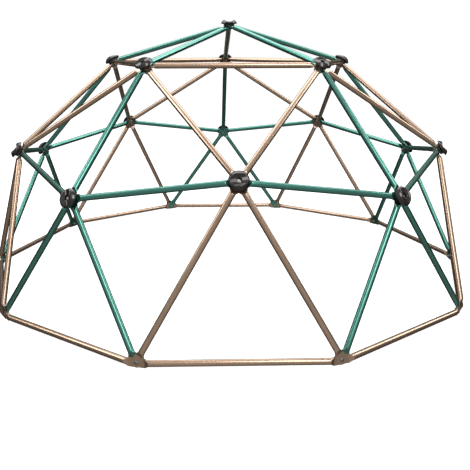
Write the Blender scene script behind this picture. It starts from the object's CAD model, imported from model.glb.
"""Looks for the geodesic dome climber: smooth crushed-end tubes, moulded grip caps and
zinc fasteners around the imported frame, on a pale studio floor. Metres, +Z up."""

import math

import bpy
import numpy as np
from mathutils import Matrix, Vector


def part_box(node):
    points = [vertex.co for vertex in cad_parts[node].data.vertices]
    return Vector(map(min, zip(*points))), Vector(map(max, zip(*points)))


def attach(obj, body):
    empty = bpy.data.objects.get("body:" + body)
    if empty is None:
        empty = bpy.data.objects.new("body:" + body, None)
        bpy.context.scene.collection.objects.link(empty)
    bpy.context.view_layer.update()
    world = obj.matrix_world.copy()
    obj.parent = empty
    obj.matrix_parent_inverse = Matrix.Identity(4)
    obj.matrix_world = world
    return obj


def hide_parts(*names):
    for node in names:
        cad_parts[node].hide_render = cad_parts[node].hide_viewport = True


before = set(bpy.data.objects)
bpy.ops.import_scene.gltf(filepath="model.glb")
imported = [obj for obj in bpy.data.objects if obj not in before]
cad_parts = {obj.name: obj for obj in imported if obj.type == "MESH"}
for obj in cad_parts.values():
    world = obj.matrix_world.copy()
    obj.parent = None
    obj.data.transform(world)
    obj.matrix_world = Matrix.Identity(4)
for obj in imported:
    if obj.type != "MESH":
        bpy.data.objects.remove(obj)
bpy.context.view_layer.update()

# ---------------------------------------------------------------- sizes of the frame
# The sphere of hubs, and the tubes between them
RADIUS = 1.524
TUBE_R = 0.0159
WALL = 0.0012
FILM = 0.0001
BEND_CLEARANCE = 0.0012
# Bolts, washers and lock nuts
BOLT_R = 0.00475
HOLE_R = 0.00525
HEX_FLATS = 0.0143
HEAD_H = 0.0062
DOME_HEAD_R = 0.0105
DOME_HEAD_H = 0.005
WASHER_R = 0.011
WASHER_H = 0.002
NUT_H = 0.011
COLLAR_H = 0.0027
OVERRUN = 0.003
# Hub caps
CAP_R = 0.0505
STEM_R = 0.033
STEM_H = 0.020
RIM = 0.007
FLARE = 0.009
RIDGE_H = 0.045
RIDGE_HALF = 0.030
TROUGH = 0.013
CAP_WALL = 0.003
HEAD_SUNK = 0.006
RECESS_R = WASHER_R + 0.002
# What follows from them
VALLEY = RIDGE_H - TROUGH
SEAT = VALLEY - HEAD_SUNK - HEAD_H - WASHER_H
TAB_T = 2 * WALL
TAB_W = WALL + math.pi / 2 * (TUBE_R - WALL)
PITCH = TAB_T + FILM
# How the hubs are numbered: the crown, three rings of five, then the ring on the ground
FOLD = 5
CROWN = 0
BASES = 2 * FOLD


def unit(v):
    return v / np.linalg.norm(v)


def direction(tilt, turn):
    return np.array([math.sin(tilt) * math.sin(turn), -math.sin(tilt) * math.cos(turn), math.cos(tilt)])


def turned(k):
    return 2 * math.pi / FOLD * (k + 0.5)


# ---------------------------------------------------------------- hubs and struts
ICOSA = math.atan(2)
five_dirs = [direction(ICOSA, turned(k)) for k in range(FOLD)]
DIRS = [np.array([0.0, 0.0, 1.0])]
DIRS += [direction(ICOSA / 2, turned(k)) for k in range(FOLD)]
DIRS += five_dirs
DIRS += [unit(five_dirs[k] + five_dirs[k - 1]) for k in range(FOLD)]
DIRS += [direction(math.pi / 2, math.pi / FOLD * (j + 0.5)) for j in range(BASES)]
HUBS = [RADIUS * d + np.array([0, 0, TAB_W]) for d in DIRS]


def shoulder(k):
    return 1 + k % FOLD


def five_way(k):
    return 1 + FOLD + k % FOLD


def six_way(k):
    return 1 + 2 * FOLD + k % FOLD


def base(j):
    return 1 + 3 * FOLD + j % BASES


K = range(FOLD)
TIERS = {
    "crown_strut": [(CROWN, shoulder(k)) for k in K],
    "shoulder_strut": [(shoulder(k), shoulder(k + 1)) for k in K],
    "upper_rib": [(shoulder(k), five_way(k)) for k in K],
    "upper_brace": [s for k in K for s in ((shoulder(k - 1), six_way(k)), (six_way(k), shoulder(k)))],
    "waist_strut": [s for k in K for s in ((six_way(k), five_way(k)), (five_way(k), six_way(k + 1)))],
    "bronze_leg_pair": [s for k in K for s in ((six_way(k), base(2 * k - 1)), (six_way(k), base(2 * k)))],
    "base_strut": [(base(j - 1), base(j)) for j in range(BASES)],
    "green_leg_pair": [s for k in K for s in ((five_way(k), base(2 * k)), (five_way(k), base(2 * k + 1)))],
}
GREEN_TIERS = ("crown_strut", "upper_rib", "waist_strut", "green_leg_pair")
CAPPED = list(range(CROWN, 3 * FOLD + 1))
GROUND = list(range(base(0), base(BASES - 1) + 1))


def leaving(a, b):
    """The way in which a tube to hub b leaves hub a, along the hub's face."""
    return unit(DIRS[b] - DIRS[a] * (DIRS[a] @ DIRS[b]))


def stack(hub):
    """Struts at a hub, the outermost first."""
    found = []
    for pairs in TIERS.values():
        found += [s for s in pairs if s[1] == hub]
        found += [s for s in pairs if s[0] == hub]
    return found


STACKS = [stack(hub) for hub in range(len(DIRS))]
closest = math.acos(leaving(six_way(0), five_way(0)) @ leaving(six_way(0), shoulder(0)))
REACH = max(TAB_W / math.tan(closest / 2), STEM_R) + BEND_CLEARANCE


def half_stack(hub):
    return len(STACKS[hub]) * PITCH / 2


def hole_centre(hub, strut):
    return HUBS[hub] + DIRS[hub] * (half_stack(hub) - (STACKS[hub].index(strut) + 0.5) * PITCH)


# ---------------------------------------------------------------- mesh helpers
def new_object(name, verts, faces, materials, indices=None, sharp=35):
    mesh = bpy.data.meshes.new(name)
    mesh.from_pydata(np.asarray(verts).tolist(), [], faces)
    mesh.validate()
    for m in materials:
        mesh.materials.append(m)
    if indices is not None:
        mesh.polygons.foreach_set("material_index", np.asarray(indices, np.int32))
    mesh.shade_smooth()
    if sharp:
        mesh.set_sharp_from_angle(angle=math.radians(sharp))
    obj = bpy.data.objects.new(name, mesh)
    bpy.context.scene.collection.objects.link(obj)
    return obj


def add_attribute(obj, name, values):
    attribute = obj.data.attributes.new(name, "FLOAT", "POINT")
    attribute.data.foreach_set("value", np.asarray(values, np.float32))


def round_angles(count):
    return np.arange(count) / count * 2 * math.pi


def grid_faces(rows, cols, close_rows=False):
    """Quads of a grid of points that wraps round along its columns."""
    out = []
    last = rows if close_rows else rows - 1
    for r in range(last):
        here, there = r * cols, (r + 1) % rows * cols
        for c in range(cols):
            d = (c + 1) % cols
            out.append((here + c, here + d, there + d, there + c))
    return out


def turned_over(faces):
    return [tuple(reversed(f)) for f in faces]


def shifted(faces, start):
    return [tuple(i + start for i in face) for face in faces]


# ---------------------------------------------------------------- struts
AROUND = 40
# How strongly the points round a tube crowd towards its two folds
CROWDING = 0.55
# The bend, the stretch over which the tube opens, and how far ahead of the bend that starts
BEND_R = 0.020
BEND_STEPS = 6
OPENING = 0.023
OPENING_STEPS = 9
LEAD = 0.004
# How fast the width falls from a tab's to a tube's as the tube opens
NARROWING = 1.6
# The rounded tip of a tab, in degrees round its hole, and how its thickness follows its width
TIP_ANGLES = (3, 12, 24, 36, 48, 60, 72, 82)
TIP_THICKNESS = 0.8
# Where the straight stretch has its rings, as shares of its length
MIDDLE_SHARES = np.linspace(0.04, 0.96, 12)
# Wear: the worn edge's share of a tab's half width, and the wear on its face
WORN_EDGE = 0.2
FACE_WEAR = 0.25
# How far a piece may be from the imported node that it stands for
FIT_LIMIT = 0.006


def slot_points(w, h):
    """Points round a slot of half width w and half height h, at fixed shares of its perimeter."""
    phi = round_angles(AROUND)
    share = (phi / (2 * math.pi) - CROWDING * np.sin(2 * phi) / (4 * math.pi)) % 1.0
    flat = max(w - h, 0)
    arc = math.pi * h / 2
    total = 4 * flat + 4 * arc
    x, z = np.zeros(AROUND), np.zeros(AROUND)
    edges = np.cumsum([0, arc, 2 * flat, 2 * arc, 2 * flat, arc])
    for i, d in enumerate(share * total):
        if d <= edges[1]:
            a = d / h
            x[i], z[i] = flat + h * math.cos(a), h * math.sin(a)
        elif d <= edges[2]:
            x[i], z[i] = flat - (d - edges[1]), h
        elif d <= edges[3]:
            a = math.pi / 2 + (d - edges[2]) / h
            x[i], z[i] = -flat + h * math.cos(a), h * math.sin(a)
        elif d <= edges[4]:
            x[i], z[i] = -flat + (d - edges[3]), -h
        else:
            a = 1.5 * math.pi + (d - edges[4]) / h
            x[i], z[i] = flat + h * math.cos(a), h * math.sin(a)
    return x, z


def ease(t):
    t = min(max(t, 0.0), 1.0)
    return t * t * (3 - 2 * t)


def crushed(distance):
    """Half width, half height and how flat the tube is, this far past the start of the crush."""
    t = ease(distance / OPENING)
    width = TUBE_R + (TAB_W - TUBE_R) * (1 - t) ** NARROWING
    return width, WALL + (TUBE_R - WALL) * t, 1.0 - t


def end_stations(hole, out, normal, along, outward, bend):
    """Centres, normals and half sizes from the tip of a tab to where the tube is round."""
    angle = math.acos(max(-1, min(1, out @ along)))
    cut = BEND_R * math.tan(angle / 2)
    start = REACH - cut
    found = []
    for a in np.radians(TIP_ANGLES):
        w = TAB_W * math.sin(a)
        found.append((hole - out * TAB_W * math.cos(a), normal, w, min(WALL, w * TIP_THICKNESS), 1.0))
    for d in list(np.linspace(0, start - LEAD, 4)) + list(np.linspace(start - LEAD, start, 4)[1:-1]):
        found.append((hole + out * d, normal, *crushed(d - start + LEAD)))
    turn_centre = hole + out * start - normal * BEND_R
    for i in range(BEND_STEPS + 1):
        a = angle * i / BEND_STEPS
        n = normal * math.cos(a) + out * math.sin(a)
        found.append((turn_centre + n * BEND_R, n, *crushed(LEAD + BEND_R * a)))
    bent = LEAD + BEND_R * angle
    for d in np.linspace(0, OPENING - bent, OPENING_STEPS)[1:]:
        found.append((bend + along * (cut + d), outward, *crushed(bent + d)))
    return found


def strut_mesh(a, b):
    """Points, faces and wear of the tube between two hubs."""
    pair = (a, b)
    holes = hole_centre(a, pair), hole_centre(b, pair)
    outs = leaving(a, b), leaving(b, a)
    bends = [holes[i] + outs[i] * REACH for i in (0, 1)]
    along = unit(bends[1] - bends[0])
    middle = DIRS[a] + DIRS[b]
    outward = unit(middle - along * (along @ middle))
    across = np.cross(outward, along)
    first = end_stations(holes[0], outs[0], DIRS[a], along, outward, bends[0])
    last = end_stations(holes[1], outs[1], DIRS[b], -along, outward, bends[1])
    start, stop = first[-1][0], last[-1][0]
    tube = [(start + (stop - start) * t, outward, TUBE_R, TUBE_R, 0.0) for t in MIDDLE_SHARES]
    stations = first + tube + last[::-1]
    verts, wear = [], []
    for centre, normal, w, h, worn in stations:
        x, z = slot_points(w, h)
        verts.append(centre + np.outer(x, across) + np.outer(z, normal))
        edge = np.clip((np.abs(x) / w - (1 - WORN_EDGE)) / WORN_EDGE, 0, 1)
        wear.append(worn * (FACE_WEAR + (1 - FACE_WEAR) * edge))
    rows = len(stations)
    faces = grid_faces(rows, AROUND)
    faces.append(tuple(reversed(range(AROUND))))
    faces.append(tuple(range((rows - 1) * AROUND, rows * AROUND)))
    return np.concatenate(verts), faces, np.concatenate(wear)


# ---------------------------------------------------------------- material helpers
def nodes_of(name):
    """A new material with its node tree, its shader and the object's own coordinates."""
    mat = bpy.data.materials.new(name)
    mat.use_nodes = True
    tree = mat.node_tree
    coords = tree.nodes.new("ShaderNodeTexCoord").outputs["Object"]
    return mat, tree, tree.nodes["Principled BSDF"], coords


def link(tree, a, b):
    tree.links.new(a, b)


def ramp(tree, source, stops):
    made = tree.nodes.new("ShaderNodeValToRGB")
    while len(made.color_ramp.elements) < len(stops):
        made.color_ramp.elements.new(0.5)
    for element, (place, colour) in zip(made.color_ramp.elements, stops):
        element.position = place
        element.color = (*colour, 1)
    link(tree, source, made.inputs["Fac"])
    return made.outputs["Color"]


def mix_colour(tree, factor, a, b, blend="MIX"):
    made = tree.nodes.new("ShaderNodeMix")
    made.data_type = "RGBA"
    made.blend_type = blend
    inputs = {s.identifier: s for s in made.inputs}
    for key, value in (("Factor_Float", factor), ("A_Color", a), ("B_Color", b)):
        if isinstance(value, bpy.types.NodeSocket):
            link(tree, value, inputs[key])
        else:
            inputs[key].default_value = value
    return {s.identifier: s for s in made.outputs}["Result_Color"]


def maths(tree, operation, a, b, clamp=False):
    made = tree.nodes.new("ShaderNodeMath")
    made.operation = operation
    made.use_clamp = clamp
    for i, value in enumerate((a, b)):
        if isinstance(value, bpy.types.NodeSocket):
            link(tree, value, made.inputs[i])
        else:
            made.inputs[i].default_value = value
    return made.outputs[0]


def scaled(tree, source, gain, offset, clamp=False):
    return maths(tree, "ADD", maths(tree, "MULTIPLY", source, gain), offset, clamp)


def above(tree, source, level, gain):
    """Nothing below the level, then rising with the source, up to one."""
    return maths(tree, "MULTIPLY", maths(tree, "SUBTRACT", source, level, True), gain, True)


def noise(tree, coords, scale, detail, roughness):
    """Noise with this many cells to the metre."""
    made = tree.nodes.new("ShaderNodeTexNoise")
    made.inputs["Scale"].default_value = scale
    made.inputs["Detail"].default_value = detail
    made.inputs["Roughness"].default_value = roughness
    link(tree, coords, made.inputs["Vector"])
    return made.outputs["Fac"]


def wear_of(tree):
    worn = tree.nodes.new("ShaderNodeAttribute")
    worn.attribute_name = "wear"
    return worn.outputs["Fac"]


def bump(tree, shader, *layers):
    """Stacks bumps, each (height socket, distance in metres, strength)."""
    normal = None
    for height, distance, strength in layers:
        made = tree.nodes.new("ShaderNodeBump")
        made.inputs["Distance"].default_value = distance
        made.inputs["Strength"].default_value = strength
        link(tree, height, made.inputs["Height"])
        if normal is not None:
            link(tree, normal, made.inputs["Normal"])
        normal = made.outputs["Normal"]
    link(tree, normal, shader.inputs["Normal"])


# ---------------------------------------------------------------- materials
COAT_METAL = 0.88
BARE_STEEL = (0.42, 0.41, 0.40, 1)


def powder_coat(name, tones, rough, flake):
    """Stoved powder coat in three tones: orange peel, faint mottling, metallic flakes of a given
    strength, chips down to the steel near the flattened ends, and duller rubbed patches."""
    deep, body, light = tones
    mat, tree, shader, coords = nodes_of(name)
    mottle = noise(tree, coords, 9.0, 3.0, 0.6)
    colour = ramp(tree, mottle, [(0.30, deep), (0.55, body), (0.78, light)])
    fine = noise(tree, coords, 160.0, 2.0, 0.55)
    grain = ramp(tree, fine, [(0.30, (0.94, 0.94, 0.94)), (0.70, (1.05, 1.05, 1.05))])
    colour = mix_colour(tree, 1.0, colour, grain, "MULTIPLY")

    flakes = tree.nodes.new("ShaderNodeTexVoronoi")
    flakes.inputs["Scale"].default_value = 1500.0
    link(tree, coords, flakes.inputs["Vector"])
    glint = maths(tree, "GREATER_THAN", flakes.outputs["Color"], 0.86)
    bright = [min(1, c * 1.9 + 0.03) for c in light]
    colour = mix_colour(tree, maths(tree, "MULTIPLY", glint, flake), colour, (*bright, 1))

    speckle = noise(tree, coords, 420.0, 4.0, 0.65)
    speckle = maths(tree, "ADD", speckle, maths(tree, "MULTIPLY", wear_of(tree), 0.15))
    chipped = maths(tree, "GREATER_THAN", speckle, 0.82)
    colour = mix_colour(tree, chipped, colour, BARE_STEEL)

    rub = above(tree, noise(tree, coords, 34.0, 3.0, 0.6), 0.56, 0.5)
    dull = [c * 0.82 + 0.03 for c in body]
    link(tree, mix_colour(tree, rub, colour, (*dull, 1)), shader.inputs["Base Color"])
    roughness = scaled(tree, mottle, 0.06, rough - 0.03)
    roughness = maths(tree, "ADD", roughness, maths(tree, "MULTIPLY", rub, 0.15), True)
    link(tree, roughness, shader.inputs["Roughness"])
    shader.inputs["Metallic"].default_value = COAT_METAL
    shader.inputs["Coat Weight"].default_value = 0.9
    shader.inputs["Coat Roughness"].default_value = 0.16

    peel = noise(tree, coords, 620.0, 1.0, 0.4)
    sag = noise(tree, coords, 70.0, 1.0, 0.4)
    bump(tree, shader, (sag, 0.0002, 0.10), (peel, 0.00003, 0.20), (chipped, 0.00005, 0.3))
    return mat


def cap_plastic():
    """Near-black brown moulded plastic with flow marks, and scuffs where hands and shoes rub."""
    mat, tree, shader, coords = nodes_of("cap_plastic")
    deep, body, light = (0.009, 0.006, 0.005), (0.014, 0.009, 0.0075), (0.021, 0.0135, 0.0115)
    swirl = noise(tree, coords, 26.0, 4.0, 0.6)
    colour = ramp(tree, swirl, [(0.25, deep), (0.55, body), (0.85, light)])
    scuffs = noise(tree, coords, 260.0, 5.0, 0.7)
    scuffs = maths(tree, "ADD", scuffs, maths(tree, "MULTIPLY", wear_of(tree), 0.16))
    scuffed = above(tree, scuffs, 0.72, 2.0)
    colour = mix_colour(tree, scuffed, colour, (0.032, 0.023, 0.020, 1))
    link(tree, colour, shader.inputs["Base Color"])
    roughness = scaled(tree, swirl, 0.04, 0.16)
    roughness = maths(tree, "ADD", roughness, maths(tree, "MULTIPLY", scuffed, 0.2), True)
    link(tree, roughness, shader.inputs["Roughness"])
    shader.inputs["Coat Weight"].default_value = 0.35
    shader.inputs["Coat Roughness"].default_value = 0.1
    flow = noise(tree, coords, 90.0, 2.0, 0.5)
    stipple = noise(tree, coords, 1400.0, 1.0, 0.4)
    bump(tree, shader, (flow, 0.0003, 0.05), (stipple, 0.00002, 0.15))
    return mat


def zinc_plate():
    """Plated steel, cloudy and a little yellow where the plating is thick."""
    mat, tree, shader, coords = nodes_of("zinc_plate")
    deep, body, light = (0.20, 0.20, 0.20), (0.27, 0.27, 0.275), (0.34, 0.33, 0.30)
    cloud = noise(tree, coords, 120.0, 3.0, 0.6)
    colour = ramp(tree, cloud, [(0.25, deep), (0.5, body), (0.75, light)])
    link(tree, colour, shader.inputs["Base Color"])
    link(tree, scaled(tree, cloud, 0.2, 0.34), shader.inputs["Roughness"])
    shader.inputs["Metallic"].default_value = 1.0
    bump(tree, shader, (noise(tree, coords, 900.0, 2.0, 0.6), 0.00005, 0.5))
    return mat


def nylon():
    """Off-white nylon of the lock nuts' inserts."""
    mat, tree, shader, coords = nodes_of("nylon_insert")
    cloud = noise(tree, coords, 300.0, 2.0, 0.5)
    colour = ramp(tree, cloud, [(0.3, (0.62, 0.62, 0.58)), (0.7, (0.74, 0.74, 0.70))])
    link(tree, colour, shader.inputs["Base Color"])
    link(tree, scaled(tree, cloud, 0.15, 0.3), shader.inputs["Roughness"])
    bump(tree, shader, (cloud, 0.0001, 0.3))
    return mat


GREEN_TONES = ((0.050, 0.230, 0.182), (0.060, 0.264, 0.212), (0.072, 0.300, 0.242))
BRONZE_TONES = ((0.440, 0.298, 0.205), (0.490, 0.336, 0.234), (0.540, 0.374, 0.262))
GREEN = powder_coat("green_powder_coat", GREEN_TONES, 0.25, 0.03)
BRONZE = powder_coat("bronze_powder_coat", BRONZE_TONES, 0.26, 0.04)
PLASTIC = cap_plastic()
ZINC = zinc_plate()
NYLON = nylon()


# ---------------------------------------------------------------- tubes
def seat_piece(obj, node_name):
    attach(obj, "root")
    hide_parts(node_name)


def check_fit(node_name, verts):
    """Stops if a piece isn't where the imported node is."""
    lo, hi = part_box(node_name)
    off = max(np.abs(verts.min(0) - np.array(lo)).max(), np.abs(verts.max(0) - np.array(hi)).max())
    if off > FIT_LIMIT:
        raise RuntimeError(f"{node_name} is {off * 1000:.1f} mm from the packed node")


def tube_piece(node_name, struts, green):
    """One piece for a node, which holds one tube or the two legs of a V."""
    verts, faces, wear, start = [], [], [], 0
    for a, b in struts:
        v, f, w = strut_mesh(a, b)
        verts.append(v)
        faces += shifted(f, start)
        wear.append(w)
        start += len(v)
    verts = np.concatenate(verts)
    obj = new_object(node_name + "_tube", verts, faces, [GREEN if green else BRONZE])
    add_attribute(obj, "wear", np.concatenate(wear))
    seat_piece(obj, node_name)
    check_fit(node_name, verts)


for tier, struts in TIERS.items():
    size = 2 if tier.endswith("pair") else 1
    for k in range(len(struts) // size):
        tube_piece(f"{tier}_{k + 1}", struts[size * k:size * (k + 1)], tier in GREEN_TIERS)


# ---------------------------------------------------------------- placing on hubs
def hub_frame(hub, height, turn=0.0):
    z = DIRS[hub]
    x = np.array([1.0, 0.0, 0.0]) if hub == CROWN else unit(np.cross([0, 0, 1], z))
    y = np.cross(z, x)
    c, s = math.cos(turn), math.sin(turn)
    axes = np.stack([x * c + y * s, y * c - x * s, z], 1)
    return axes, HUBS[hub] + z * height


def placed(verts, hub, height, turn=0.0, flip=False):
    axes, origin = hub_frame(hub, height, turn)
    local = np.asarray(verts, float).copy()
    if flip:
        local[:, 1:] *= -1
    return local @ axes.T + origin


def top_of(hub):
    return half_stack(hub) + FILM


def under_of(hub):
    return -half_stack(hub) - FILM - WASHER_H


# ---------------------------------------------------------------- hub caps
# How far each cap is turned on its bolt, in degrees, in the order of the hubs
CAP_TURNS = [90, 165, 90, 75, 90, 65, 90, 20, 65, 120, 120, 10, 10, 100, 20, 170]
CAP_AROUND = 96
# How softly the two lips run into the valley between them
VALLEY_BLEND = 0.0045
TOP_RINGS = 22
RIM_ANGLES = (40, 22, 4, -14, -32, -50, -68, -86)
FLARE_ANGLES = (84, 66, 48, 30, 12)
# Small radii: at the stem's foot, at the recess's floor, and where the recess meets the top
FOOT_ROUND = 0.0010
FLOOR_ROUND = 0.0012
MOUTH_ROUND = 0.0016
# Wear on the lips, over this height below their tops, and on the rim from this radius outwards
LIP_WEAR_DEPTH = 0.006
RIM_WEAR_R = 0.045
RIM_WEAR_BAND = 0.003
RIM_WEAR = 0.6

edge_r = RIM / 2
edge_c = np.array([CAP_R - edge_r, STEM_H + edge_r])
edge_p = edge_c + edge_r * np.array([math.cos(math.pi / 4), math.sin(math.pi / 4)])
ridge_p = np.array([RIDGE_HALF, RIDGE_H])
crown_z = (edge_p @ edge_p - ridge_p @ ridge_p) / (2 * (edge_p[1] - ridge_p[1]))
crown_r = np.linalg.norm(edge_p - [0, crown_z])
trough_r = (RIDGE_HALF ** 2 + TROUGH ** 2) / (2 * TROUGH)


def smooth_min(a, b, k):
    h = np.clip(0.5 + 0.5 * (b - a) / k, 0, 1)
    return b * (1 - h) + a * h - k * h * (1 - h)


def cap_top(r, theta):
    """Height of the domed top, with a round-bottomed valley across it."""
    crown = crown_z + math.sqrt(max(crown_r ** 2 - r ** 2, 0))
    y = r * np.sin(theta)
    trough = VALLEY + trough_r - np.sqrt(np.maximum(trough_r ** 2 - y ** 2, 1e-9))
    return smooth_min(np.full_like(theta, crown), trough, VALLEY_BLEND)


def cap_rings(theta):
    """(radius, height) rings round the whole skin of a cap, from the bolt hole over the top,
    round the rim, down the stem and up into the pocket. Heights on the top vary with the angle."""
    rings = []

    def flat(r, z):
        rings.append((np.full(CAP_AROUND, r), np.full(CAP_AROUND, z)))

    flat(HOLE_R, SEAT)
    flat(RECESS_R - FLOOR_ROUND, SEAT)
    flat(RECESS_R - FLOOR_ROUND / 4, SEAT + FLOOR_ROUND / 4)
    flat(RECESS_R, SEAT + FLOOR_ROUND)
    brim = cap_top(RECESS_R, theta)
    for r, drop in ((RECESS_R, MOUTH_ROUND), (RECESS_R + 0.0003, 0.0007), (RECESS_R + 0.0010, 0.0001)):
        rings.append((np.full(CAP_AROUND, r), brim - drop))
    for r in np.linspace(RECESS_R + 0.0022, edge_p[0] - 0.0004, TOP_RINGS):
        rings.append((np.full(CAP_AROUND, r), cap_top(r, theta)))
    for a in np.radians(RIM_ANGLES):
        flat(edge_c[0] + edge_r * math.cos(a), edge_c[1] + edge_r * math.sin(a))
    flat(STEM_R + FLARE + 0.0004, STEM_H)
    for a in np.radians(FLARE_ANGLES):
        flat(STEM_R + FLARE - FLARE * math.cos(a), STEM_H - FLARE + FLARE * math.sin(a))
    flat(STEM_R, STEM_H - FLARE - 0.001)
    flat(STEM_R, FOOT_ROUND)
    flat(STEM_R - 0.0003, 0.0003)
    flat(STEM_R - FOOT_ROUND, 0.0)
    ceiling = VALLEY - 2 * CAP_WALL
    for r, z in ((STEM_R - CAP_WALL, 0.0), (STEM_R - CAP_WALL, ceiling),
                 (RECESS_R + CAP_WALL, ceiling), (RECESS_R + CAP_WALL, 0.0), (HOLE_R, 0.0)):
        flat(r, z)
    return rings


def cap_geometry():
    theta = round_angles(CAP_AROUND)
    rings = cap_rings(theta)
    verts, wear = [], []
    for r, z in rings:
        verts.append(np.stack([r * np.cos(theta), r * np.sin(theta), z], 1))
        high = np.clip((z - RIDGE_H + LIP_WEAR_DEPTH) / LIP_WEAR_DEPTH, 0, 1)
        rim = np.clip((r - RIM_WEAR_R) / RIM_WEAR_BAND, 0, 1)
        wear.append(np.clip(high + RIM_WEAR * rim, 0, 1))
    faces = turned_over(grid_faces(len(rings), CAP_AROUND, close_rows=True))
    return np.concatenate(verts), faces, np.concatenate(wear)


cap_verts, cap_faces, cap_wear = cap_geometry()
for hub in CAPPED:
    verts = placed(cap_verts, hub, top_of(hub), math.radians(CAP_TURNS[hub]))
    obj = new_object(f"hub_cap_{hub + 1}", verts, cap_faces, [PLASTIC], sharp=50)
    add_attribute(obj, "wear", cap_wear)
    seat_piece(obj, "hub_caps")


# ---------------------------------------------------------------- fasteners
HEX_AROUND = 72
WASHER_AROUND = 48
# Thread: its pitch, its depth, how many rings a turn has, and the blunt end of the bolt
THREAD_PITCH = 0.0016
THREAD_DEPTH = 0.00055
RINGS_A_TURN = 6
BLUNT_END = 0.0006
HEX_THREAD = 0.020
DOME_THREAD = 0.018
# Chamfer of the hexagons: the slope from the round face out to the corners
CHAMFER = 0.55
WASHER_EDGE = 0.0004


def hex_radius(theta):
    return HEX_FLATS / 2 / np.cos((theta + math.pi / 6) % (math.pi / 3) - math.pi / 6)


def revolve(rings, around, close=False):
    """Rings are (radius, height), and either may be an array over the angle."""
    theta = round_angles(around)
    verts = []
    for r, z in rings:
        radius = np.broadcast_to(np.asarray(r, float), (around,))
        height = np.broadcast_to(np.asarray(z, float), (around,))
        verts.append(np.stack([radius * np.cos(theta), radius * np.sin(theta), height], 1))
    faces = grid_faces(len(rings), around, close_rows=close)
    if not close:
        faces.append(tuple(reversed(range(around))))
        faces.append(tuple(range((len(rings) - 1) * around, len(rings) * around)))
    return np.concatenate(verts), faces


def shank_rings(top, bottom, thread):
    """Rings from top down to bottom, with a thread over the last stretch."""
    theta = round_angles(HEX_AROUND)
    rings = [(BOLT_R, top), (BOLT_R, bottom + thread + 0.0005)]
    z = bottom + thread
    while z > bottom + 0.0009:
        phase = (z / THREAD_PITCH - theta / (2 * math.pi)) % 1.0
        depth = 1 - np.abs(2 * phase - 1)
        rings.append((BOLT_R - THREAD_DEPTH * depth, z))
        z -= THREAD_PITCH / RINGS_A_TURN
    rings.append((BOLT_R - BLUNT_END, bottom + BLUNT_END))
    rings.append((BOLT_R - 0.0014, bottom))
    return rings


def hex_bolt(grip):
    """Hexagon head with a shallow dish on top and a washer face below."""
    hexed = hex_radius(round_angles(HEX_AROUND))
    face = HEX_FLATS / 2 * 0.94
    dish = HEAD_H - 0.0005
    rings = [(0.0006, dish), (0.0040, dish), (0.0046, HEAD_H - 0.0001), (face, HEAD_H),
             (hexed, HEAD_H - (hexed - face) * CHAMFER), (hexed, 0.0007), (HEX_FLATS / 2 * 0.98, 0.0003),
             (HEX_FLATS / 2 * 0.97, 0.0), (BOLT_R + 0.0004, 0.0), (BOLT_R, -0.0004)]
    rings += shank_rings(-0.001, -grip, HEX_THREAD)
    verts, faces = revolve(rings, HEX_AROUND)
    return verts, turned_over(faces)


def dome_bolt(grip):
    """Low domed head with a thin rounded edge."""
    ball = (DOME_HEAD_R ** 2 + DOME_HEAD_H ** 2) / (2 * DOME_HEAD_H)
    start = math.asin(DOME_HEAD_R / ball)
    rings = []
    for a in np.linspace(0.04, 0.93, 10) * start:
        rings.append((ball * math.sin(a), DOME_HEAD_H - ball * (1 - math.cos(a))))
    rings += [(DOME_HEAD_R, 0.0008), (DOME_HEAD_R - 0.0001, 0.0003), (DOME_HEAD_R - 0.0004, 0.0),
              (BOLT_R, 0.0)]
    rings += shank_rings(-0.001, -grip, DOME_THREAD)
    verts, faces = revolve(rings, HEX_AROUND)
    return verts, turned_over(faces)


def washer():
    """Flat ring, rounded below and above at its outer edge as a punched washer is."""
    e = WASHER_EDGE
    rings = [(HOLE_R, e), (HOLE_R + e, 0.0), (WASHER_R - e, 0.0), (WASHER_R - e * 0.3, e * 0.3),
             (WASHER_R, e), (WASHER_R, WASHER_H - e * 1.4), (WASHER_R - e * 0.4, WASHER_H - e * 0.4),
             (WASHER_R - e * 1.4, WASHER_H), (HOLE_R + e, WASHER_H), (HOLE_R, WASHER_H - e)]
    return revolve(rings, WASHER_AROUND, close=True)


def lock_nut():
    """Hexagon with chamfered corners, a rolled collar and the nylon ring it holds."""
    hexed = hex_radius(round_angles(HEX_AROUND))
    face = HEX_FLATS / 2 * 0.95
    shoulder_z = NUT_H - COLLAR_H
    collar = HEX_FLATS / 2 - 0.0008
    bore = BOLT_R + FILM
    rings = [(bore + 0.0004, 0.0), (face, 0.0), (hexed, (hexed - face) * CHAMFER + 0.0001),
             (hexed, shoulder_z - (hexed - collar) * 0.5), (collar + 0.0002, shoulder_z),
             (collar, shoulder_z + 0.0006), (collar, NUT_H - 0.0009), (collar - 0.0003, NUT_H - 0.0003),
             (collar - 0.0009, NUT_H)]
    nylon_from = len(rings)
    rings += [(collar - 0.0013, NUT_H - 0.0003), (bore, NUT_H - 0.0005)]
    nylon_to = len(rings)
    rings += [(bore, 0.0004)]
    verts, faces = revolve(rings, HEX_AROUND, close=True)
    indices = [int(nylon_from <= i // HEX_AROUND < nylon_to) for i in range(len(faces))]
    return verts, faces, indices


def gather(name, node_name, items, materials):
    """One piece from many placed copies; each item is (verts, faces, material indices or None)."""
    verts, faces, indices, start = [], [], [], 0
    for v, f, m in items:
        verts.append(v)
        faces += shifted(f, start)
        indices += m if m is not None else [0] * len(f)
        start += len(v)
    obj = new_object(name, np.concatenate(verts), faces, materials, indices=indices, sharp=30)
    seat_piece(obj, node_name)


def head_height(hub):
    return top_of(hub) + SEAT + WASHER_H + 2 * FILM


def grip(hub, height):
    """Length from under the head to the end of the bolt, past the nut."""
    return height - under_of(hub) + NUT_H + OVERRUN + FILM


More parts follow.
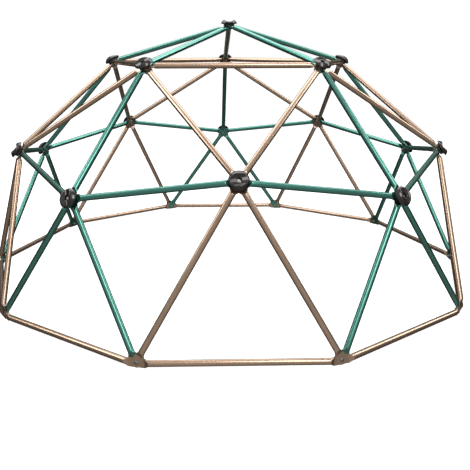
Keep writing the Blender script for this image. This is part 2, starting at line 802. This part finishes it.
items = []
for hub in CAPPED:
    v, f = hex_bolt(grip(hub, head_height(hub)))
    items.append((placed(v, hub, head_height(hub)), f, None))
gather("hub_bolt_set", "hub_bolts", items, [ZINC])

items = []
for hub in GROUND:
    v, f = dome_bolt(grip(hub, top_of(hub)))
    items.append((placed(v, hub, top_of(hub)), f, None))
gather("base_bolt_set", "base_bolts", items, [ZINC])

ring_v, ring_f = washer()
items = [(placed(ring_v, hub, top_of(hub) + SEAT + FILM), ring_f, None) for hub in CAPPED]
items += [(placed(ring_v, hub, under_of(hub)), ring_f, None) for hub in CAPPED + GROUND]
gather("washer_set", "washers", items, [ZINC])

nut_v, nut_f, nut_m = lock_nut()
items = [(placed(nut_v, hub, under_of(hub) - FILM, flip=True), nut_f, nut_m) for hub in CAPPED + GROUND]
gather("lock_nut_set", "lock_nuts", items, [ZINC, NYLON])


# ---------------------------------------------------------------- studio
FLOOR_HALF = 60.0
FLOOR_GLOW = 0.86
CENTRE = (0, 0, 0.7)
WARM = (1, 0.98, 0.95)
NEUTRAL = (1, 1, 1)
# Name, place, what it is aimed at, width, height, watts and colour
LAMPS = (
    ("front_panel", (1.1, -4.3, 3.9), CENTRE, 1.7, 3.0, 92, WARM),
    ("left_panel", (-4.6, -0.9, 3.9), CENTRE, 1.5, 3.0, 84, WARM),
    ("right_panel", (4.8, 0.2, 3.9), CENTRE, 1.5, 3.0, 84, WARM),
    ("overhead", (0.0, 1.6, 4.6), (0, 1.3, 0), 6.0, 3.4, 165, NEUTRAL),
)
# Light of the surroundings from straight below to straight above, and from the front to the back
BELOW_TO_ABOVE = [(0.0, (0.10, 0.095, 0.09)), (0.42, (0.02, 0.02, 0.02)), (0.55, (0.035, 0.035, 0.035)),
                  (0.72, (0.22, 0.225, 0.23)), (1.0, (0.60, 0.61, 0.63))]
FRONT_TO_BACK = [(0.0, (0.46, 0.445, 0.43)), (0.25, (0.27, 0.26, 0.25)), (0.52, (0.0, 0.0, 0.0))]


def matrix_of(x, y, z, origin):
    return Matrix([[x[i], y[i], z[i], origin[i]] for i in range(3)] + [[0, 0, 0, 1]])


def floor_material():
    """Pale seamless paper that glows a little, so that it stays as pale far away as near the lamps."""
    mat, tree, shader, coords = nodes_of("studio_floor")
    cloud = noise(tree, coords, 1.5, 3.0, 0.5)
    colour = ramp(tree, cloud, [(0.3, (0.58, 0.58, 0.58)), (0.7, (0.60, 0.60, 0.60))])
    link(tree, colour, shader.inputs["Base Color"])
    shader.inputs["Roughness"].default_value = 0.9
    shader.inputs["Specular IOR Level"].default_value = 0.0
    shader.inputs["Emission Color"].default_value = (1, 1, 1, 1)
    shader.inputs["Emission Strength"].default_value = FLOOR_GLOW
    return mat


def add_floor():
    """A floor that lights nothing, so that the undersides of the tubes stay dark."""
    corners = [(-FLOOR_HALF, -FLOOR_HALF, 0), (FLOOR_HALF, -FLOOR_HALF, 0),
               (FLOOR_HALF, FLOOR_HALF, 0), (-FLOOR_HALF, FLOOR_HALF, 0)]
    floor = new_object("studio_floor", corners, [(0, 1, 2, 3)], [floor_material()], sharp=0)
    floor.visible_diffuse = False
    floor.visible_glossy = False


def softbox(name, place, target, width, height, watts, colour):
    lamp = bpy.data.lights.new(name, "AREA")
    lamp.shape = "RECTANGLE"
    lamp.size, lamp.size_y = width, height
    lamp.energy = watts
    lamp.color = colour
    obj = bpy.data.objects.new(name, lamp)
    bpy.context.scene.collection.objects.link(obj)
    back = unit(np.array(place, float) - np.array(target, float))
    side = unit(np.cross([0, 0, 1], back))
    obj.matrix_world = matrix_of(side, np.cross(back, side), back, place)


def add_surroundings():
    """A dim room that the tubes reflect, lightest above and in front, behind a white backdrop."""
    world = bpy.data.worlds.new("studio")
    bpy.context.scene.world = world
    world.use_nodes = True
    tree = world.node_tree
    sky = tree.nodes.new("ShaderNodeTexCoord")
    split = tree.nodes.new("ShaderNodeSeparateXYZ")
    link(tree, sky.outputs["Generated"], split.inputs[0])
    height = scaled(tree, split.outputs["Z"], 0.5, 0.5)
    depth = scaled(tree, split.outputs["Y"], 0.5, 0.5)
    room = mix_colour(tree, 1.0, ramp(tree, height, BELOW_TO_ABOVE), ramp(tree, depth, FRONT_TO_BACK), "ADD")
    lit = tree.nodes["Background"]
    link(tree, room, lit.inputs["Color"])
    lit.inputs["Strength"].default_value = 1.0
    shown = tree.nodes.new("ShaderNodeBackground")
    shown.inputs["Color"].default_value = (1, 1, 1, 1)
    shown.inputs["Strength"].default_value = 1.0
    path = tree.nodes.new("ShaderNodeLightPath")
    mixer = tree.nodes.new("ShaderNodeMixShader")
    link(tree, path.outputs["Is Camera Ray"], mixer.inputs["Fac"])
    link(tree, lit.outputs[0], mixer.inputs[1])
    link(tree, shown.outputs[0], mixer.inputs[2])
    link(tree, mixer.outputs[0], tree.nodes["World Output"].inputs["Surface"])


add_floor()
for lamp in LAMPS:
    softbox(*lamp)
add_surroundings()
bpy.context.scene.view_settings.view_transform = "Standard"

# ---------------------------------------------------------------- camera
# Place from the dome's axis and above its ring of ground hubs, then where it looks, in radians
DISTANCE = 2.70952 * RADIUS
HEIGHT = 0.92825 * RADIUS
ORBIT = 0.03499
PITCH_DOWN = 0.20949
YAW = -0.00678
SENSOR = 36.0
LENS = 48.693
SHIFT = (0.02225, -0.11518)


def turn_z(a):
    return np.array([[math.cos(a), -math.sin(a), 0], [math.sin(a), math.cos(a), 0], [0, 0, 1]])


def turn_x(a):
    return np.array([[1, 0, 0], [0, math.cos(a), -math.sin(a)], [0, math.sin(a), math.cos(a)]])


def add_camera():
    right, forward, up = turn_x(PITCH_DOWN) @ turn_z(YAW) @ turn_z(ORBIT)
    eye = turn_z(-ORBIT) @ np.array([0, -DISTANCE, HEIGHT]) + np.array([0, 0, TAB_W])
    lens = bpy.data.cameras.new("camera")
    lens.sensor_width = SENSOR
    lens.lens = LENS
    lens.shift_x, lens.shift_y = SHIFT
    lens.clip_end = 200
    camera = bpy.data.objects.new("camera", lens)
    bpy.context.scene.collection.objects.link(camera)
    camera.matrix_world = matrix_of(right, up, -forward, eye)
    bpy.context.scene.camera = camera


add_camera()
bpy.context.view_layer.update()
